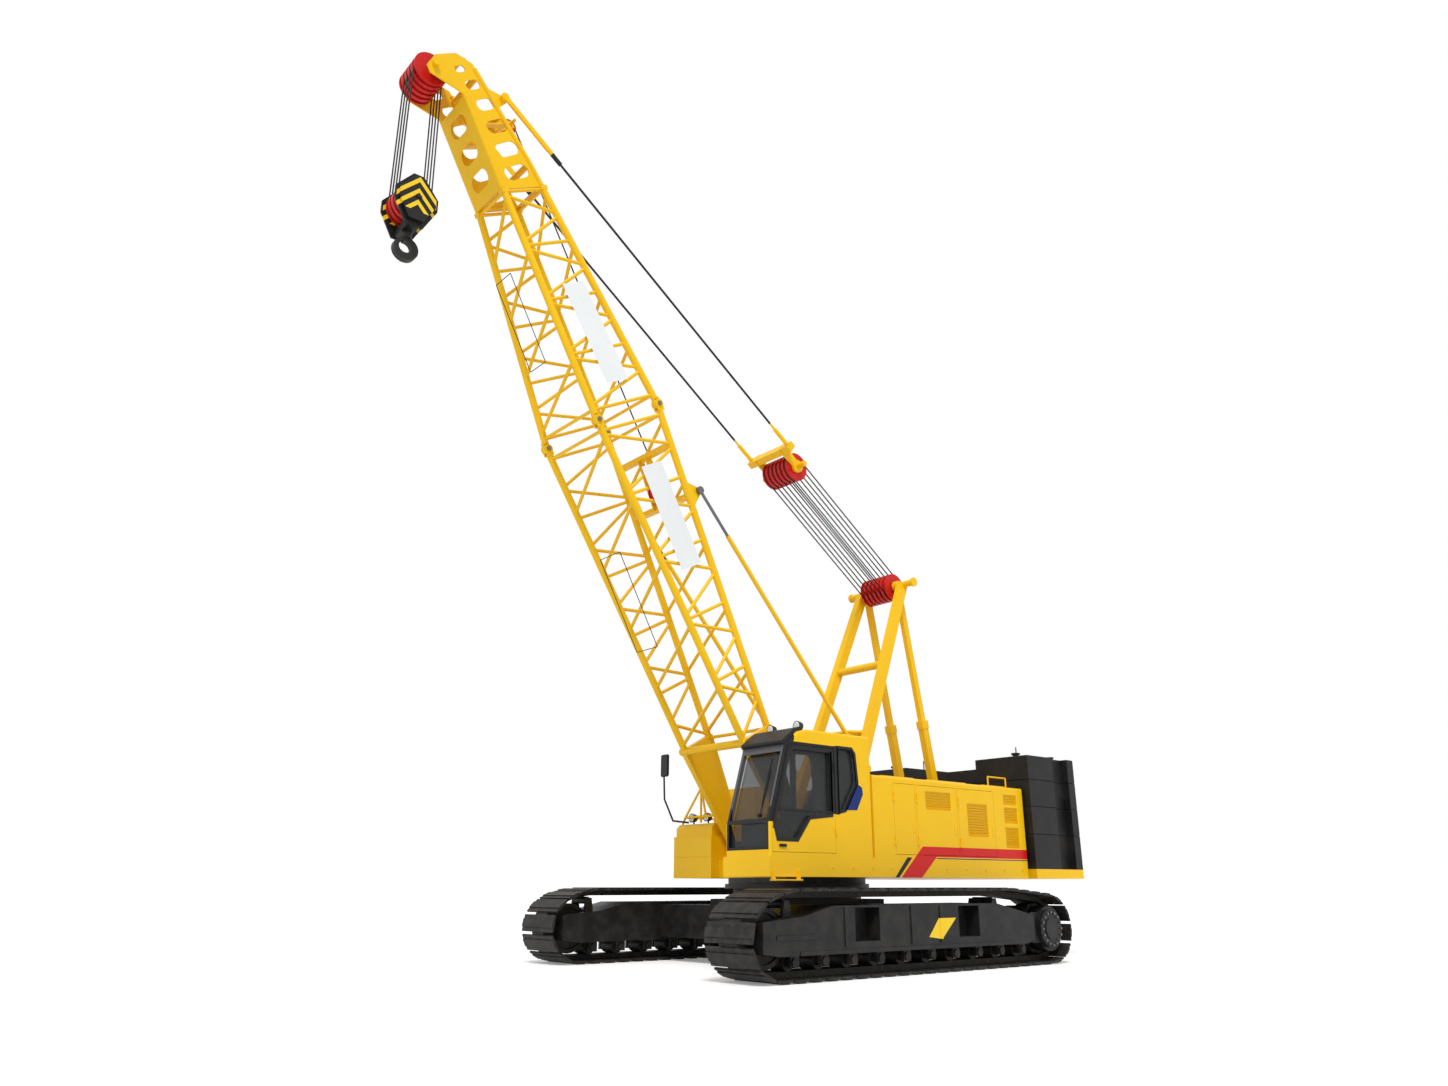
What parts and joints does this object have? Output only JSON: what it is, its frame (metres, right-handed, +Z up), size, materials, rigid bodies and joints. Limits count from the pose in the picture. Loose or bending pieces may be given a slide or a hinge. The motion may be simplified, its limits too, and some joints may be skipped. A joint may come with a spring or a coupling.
{
  "type": "lattice boom crawler crane",
  "caption": "Crawler crane with slewing upperworks, cab, gantry, stacked counterweight, two-section lattice boom, rope suspension and hook block.",
  "frame": {"origin": "on the ground under the slewing axis, tracks and upperworks facing forward", "axes": "+X forward, +Y the operator's left (cab side), +Z up"},
  "size_m": [12.0078, 5, 11.8913],
  "materials": {
    "cab_glass": "clear",
    "dark_paint": "semi-gloss",
    "dark_track_steel": "dull",
    "engine_metal": "matt",
    "hook_steel": "satin",
    "pendant_steel": "greased",
    "red_sheaves": "satin",
    "rod_steel": "smooth",
    "rope": "greased",
    "seat_fabric": "matt",
    "wheel_steel": "dull",
    "winch_steel": "satin",
    "yellow_paint": "semi-gloss"
  },
  "bodies": {
    "undercarriage": {"carbody": "dark_paint", "track_frame_left": "dark_paint", "track_frame_right": "dark_paint", "track_left": "dark_track_steel", "track_right": "dark_track_steel", "track_rollers": "wheel_steel", "track_wheels": "wheel_steel"},
    "upperworks": {"slew_ring": "wheel_steel", "deck": "yellow_paint", "cab_shell": "yellow_paint", "operator_seat": "seat_fabric", "engine_house": "yellow_paint", "right_house": "yellow_paint", "front_boxes": "yellow_paint", "engine": "engine_metal", "winches": "winch_steel", "counterweight_tray": "yellow_paint", "counterweight_1": "dark_paint", "counterweight_2": "dark_paint", "counterweight_3": "dark_paint", "counterweight_top": "dark_paint", "gantry_front": "yellow_paint", "gantry_rear": "yellow_paint", "cab_glass": "cab_glass", "guard_rails": "yellow_paint"},
    "cab_door": {"cab_door": "yellow_paint"},
    "service_door_front": {"service_door_front": "yellow_paint"},
    "service_door_middle": {"service_door_middle": "yellow_paint"},
    "service_door_rear": {"service_door_rear": "yellow_paint"},
    "boom": {"boom_base": "yellow_paint", "boom_tip": "yellow_paint", "boom_head": "yellow_paint", "guide_sheaves": "red_sheaves"},
    "gantry_sheaves": {"gantry_sheaves": "red_sheaves"},
    "bridle": {"bridle": "yellow_paint", "bridle_sheaves": "red_sheaves", "pendants": "pendant_steel", "luff_ropes": "rope"},
    "backstop_tubes": {"backstop_tubes": "yellow_paint"},
    "backstop_rods": {"backstop_rods": "rod_steel"},
    "head_sheaves": {"head_sheaves": "red_sheaves"},
    "hook_block": {"hook_block": "dark_paint", "block_sheaves": "red_sheaves", "hoist_ropes": "rope"},
    "hook": {"hook": "hook_steel"}
  },
  "joints": [
    {"name": "slew", "type": "hinge", "parent": "undercarriage", "child": "upperworks", "pos_m": [0, 0, 1.065], "axis": [0, 0, 1], "continuous": true},
    {"name": "cab_door_hinge", "type": "hinge", "parent": "upperworks", "child": "cab_door", "pos_m": [0.83, 1.641, 2], "axis": [0, 0, 1], "range_deg": [0, 100]},
    {"name": "service_door_rear_hinge", "type": "hinge", "parent": "upperworks", "child": "service_door_rear", "pos_m": [-1.75, 1.641, 1.9], "axis": [0, 0, -1], "range_deg": [0, 100]},
    {"name": "service_door_middle_hinge", "type": "hinge", "parent": "upperworks", "child": "service_door_middle", "pos_m": [-0.822, 1.641, 1.9], "axis": [0, 0, -1], "range_deg": [0, 100]},
    {"name": "service_door_front_hinge", "type": "hinge", "parent": "upperworks", "child": "service_door_front", "pos_m": [-0.335, 1.641, 1.9], "axis": [0, 0, -1], "range_deg": [0, 100]},
    {"name": "boom_luff", "type": "hinge", "parent": "upperworks", "child": "boom", "pos_m": [0.53, 0, 1.52], "axis": [0, -1, 0], "range_deg": [-30, 16]},
    {"name": "gantry_sheaves_turn", "type": "hinge", "parent": "upperworks", "child": "gantry_sheaves", "pos_m": [-2.15, 0, 5.85], "axis": [0, -1, 0], "range_deg": [-32.25, 18.6]},
    {"name": "bridle_travel", "type": "slide", "parent": "gantry_sheaves", "child": "bridle", "axis": [0.8112, 0, 0.5847], "range_m": [-1.441, 2.658], "deforming": ["luff_ropes"]},
    {"name": "backstop_swing", "type": "hinge", "parent": "upperworks", "child": "backstop_tubes", "pos_m": [-0.79, 0, 2.7], "axis": [0, -1, 0], "range_deg": [-32.13, 18.54]},
    {"name": "backstop_travel", "type": "slide", "parent": "backstop_tubes", "child": "backstop_rods", "axis": [0.6608, 0, 0.7505], "range_m": [-0.499, 0.919]},
    {"name": "head_sheaves_turn", "type": "hinge", "parent": "boom", "child": "head_sheaves", "pos_m": [6.72781, 0, 11.5308], "axis": [0, -1, 0], "range_deg": [-18, 32]},
    {"name": "hoist", "type": "slide", "parent": "head_sheaves", "child": "hook_block", "axis": [0, 0, -1], "range_m": [-0.7, 8], "deforming": ["hoist_ropes"]},
    {"name": "hook_swivel", "type": "hinge", "parent": "hook_block", "child": "hook", "pos_m": [6.72781, 0, 9], "axis": [0, 0, 1], "continuous": true}
  ],
  "couplings": [
    {"joint": "gantry_sheaves_turn", "follows": "boom_luff", "ratio": 0.975},
    {"joint": "bridle_travel", "follows": "boom_luff", "m_per_rad": -4.98},
    {"joint": "backstop_swing", "follows": "boom_luff", "ratio": 0.971},
    {"joint": "backstop_travel", "follows": "boom_luff", "m_per_rad": -1.717},
    {"joint": "head_sheaves_turn", "follows": "boom_luff", "ratio": -1}
  ]
}
